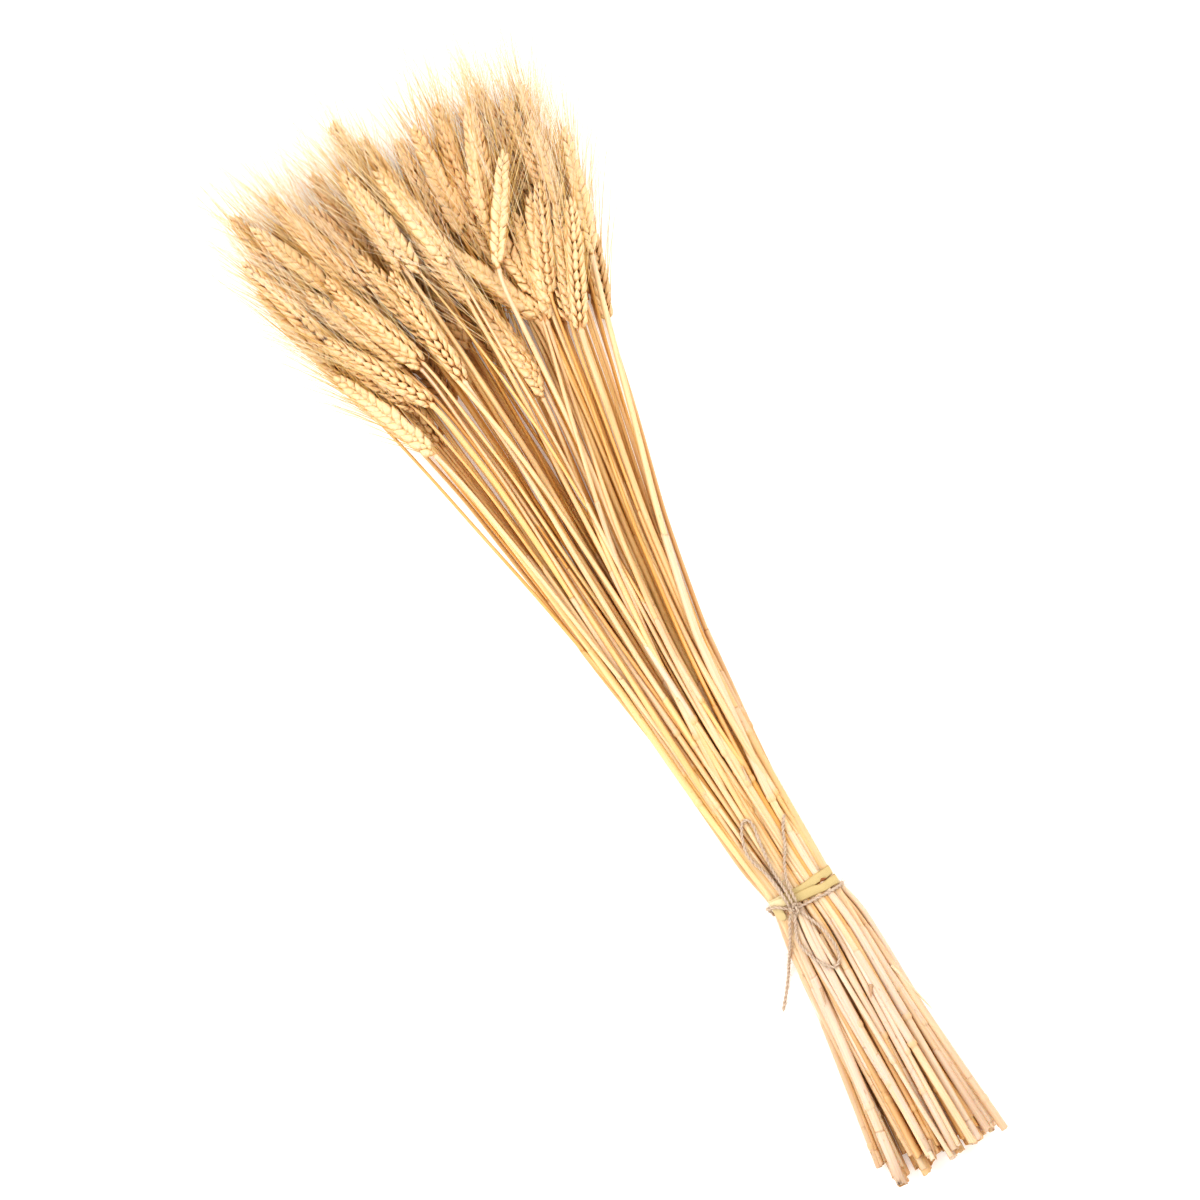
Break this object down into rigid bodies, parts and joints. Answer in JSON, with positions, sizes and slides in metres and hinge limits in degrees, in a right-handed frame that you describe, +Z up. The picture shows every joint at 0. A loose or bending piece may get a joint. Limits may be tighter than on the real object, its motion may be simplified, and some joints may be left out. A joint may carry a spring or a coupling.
{
  "type": "bundle of dried wheat",
  "caption": "Tied bundle of dried bearded wheat: hollow straws with awned ears fanning from a straw band and a jute twine bow, lying flat.",
  "frame": {"origin": "on the table, under the middle of the bundle from the cut ends to the awns' tips", "axes": "+X across the bundle to the right seen from above with the ears ahead, +Y along the bundle towards the ears, +Z up from the table"},
  "size_m": [0.2132, 0.6296, 0.0466],
  "materials": {
    "straw": "dry wheat straw and husks, pale cream at the cut ends to golden at the ears, satin",
    "band": "flat yellow-green straw strip, finely ribbed, satin",
    "twine": "grey-brown laid jute twine, matt and hairy"
  },
  "bodies": {
    "root": {"stalk_01": "straw", "stalk_02": "straw", "stalk_03": "straw", "stalk_04": "straw", "stalk_05": "straw", "stalk_06": "straw", "stalk_07": "straw", "stalk_08": "straw", "stalk_09": "straw", "stalk_10": "straw", "stalk_11": "straw", "stalk_12": "straw", "stalk_13": "straw", "stalk_14": "straw", "stalk_15": "straw", "stalk_16": "straw", "stalk_17": "straw", "stalk_18": "straw", "stalk_19": "straw", "stalk_20": "straw", "stalk_21": "straw", "stalk_22": "straw", "stalk_23": "straw", "stalk_24": "straw", "stalk_25": "straw", "stalk_26": "straw", "stalk_27": "straw", "stalk_28": "straw", "stalk_29": "straw", "stalk_30": "straw", "stalk_31": "straw", "stalk_32": "straw", "stalk_33": "straw", "stalk_34": "straw", "stalk_35": "straw", "stalk_36": "straw", "stalk_37": "straw", "stalk_38": "straw", "stalk_39": "straw", "stalk_40": "straw", "straw_band": "band", "twine_tie": "twine", "twine_loop_upper": "twine", "twine_end_upper": "twine", "twine_loop_lower": "twine", "twine_end_lower": "twine"}
  },
  "joints": []
}
